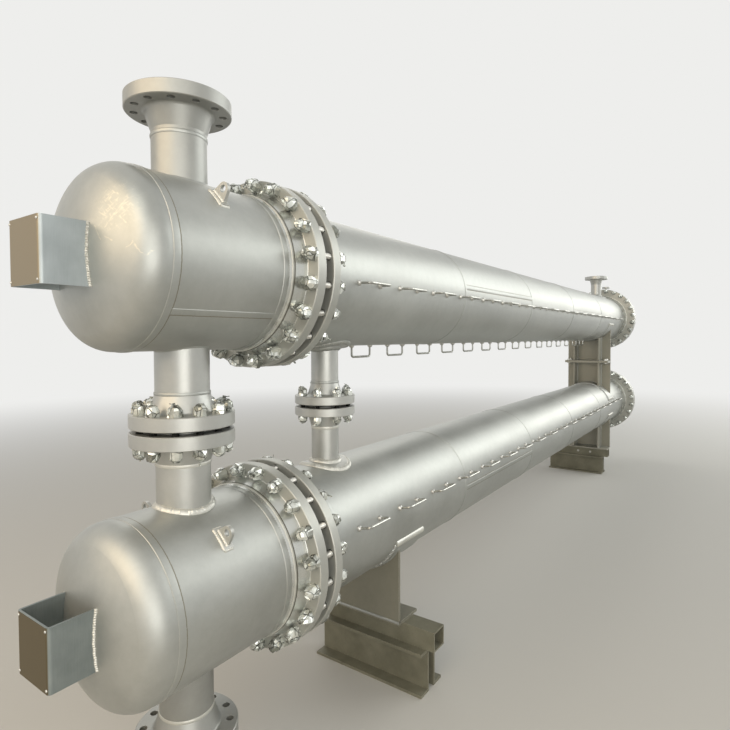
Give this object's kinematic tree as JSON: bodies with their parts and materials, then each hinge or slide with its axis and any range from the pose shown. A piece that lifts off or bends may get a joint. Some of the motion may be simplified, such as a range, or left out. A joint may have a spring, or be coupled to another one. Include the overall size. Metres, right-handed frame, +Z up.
{
  "type": "stacked shell and tube heat exchanger pair",
  "caption": "Stacked shell and tube heat exchangers joined by flanged nozzles, with dished channel heads, saddles and low steel stands.",
  "frame": {"origin": "bottom centre of the whole stack's box, on the floor", "axes": "+X along the exchangers from the channel heads to the rear covers, +Z up"},
  "size_m": [9.1866, 1.033, 2.989],
  "materials": {
    "silver_paint": "satin aluminium paint over rolled plate",
    "bracket_steel": "bent stainless plate, matt",
    "machined_steel": "turned steel, dull and oiled",
    "clip_steel": "bright bent rod",
    "saddle_paint": "matt warm grey paint",
    "stand_steel": "worn grey brown primer on rolled steel"
  },
  "bodies": {
    "root": {"upper_channel_head": "silver_paint", "upper_channel_barrel": "silver_paint", "upper_channel_flange": "silver_paint", "upper_tubesheet": "machined_steel", "upper_shell_flange": "silver_paint", "upper_shell": "silver_paint", "upper_rear_shell_flange": "silver_paint", "upper_rear_cover_flange": "silver_paint", "upper_rear_cover": "silver_paint", "upper_nameplate_bracket": "bracket_steel", "upper_lifting_lugs": "silver_paint", "upper_insulation_clips": "clip_steel", "lower_channel_head": "silver_paint", "lower_channel_barrel": "silver_paint", "lower_channel_flange": "silver_paint", "lower_tubesheet": "machined_steel", "lower_shell_flange": "silver_paint", "lower_shell": "silver_paint", "lower_rear_shell_flange": "silver_paint", "lower_rear_cover_flange": "silver_paint", "lower_rear_cover": "silver_paint", "lower_nameplate_bracket": "bracket_steel", "lower_lifting_lugs": "silver_paint", "lower_insulation_clips": "clip_steel", "channel_top_nozzle": "silver_paint", "upper_channel_link_nozzle": "silver_paint", "channel_link_gasket": "machined_steel", "lower_channel_link_nozzle": "silver_paint", "channel_bottom_nozzle": "silver_paint", "upper_shell_link_nozzle": "silver_paint", "shell_link_gasket": "machined_steel", "lower_shell_link_nozzle": "silver_paint", "shell_top_nozzle": "silver_paint", "shell_bottom_nozzle": "silver_paint", "shell_nozzle_pads": "silver_paint", "rear_cover_vent_nozzle": "silver_paint", "near_saddle": "saddle_paint", "far_saddle": "saddle_paint", "upper_middle_saddle": "saddle_paint", "lower_middle_saddle": "saddle_paint", "near_stand_tube": "stand_steel", "near_stand_beam": "stand_steel", "far_stand_tube": "stand_steel", "far_stand_beam": "stand_steel"}
  },
  "joints": []
}
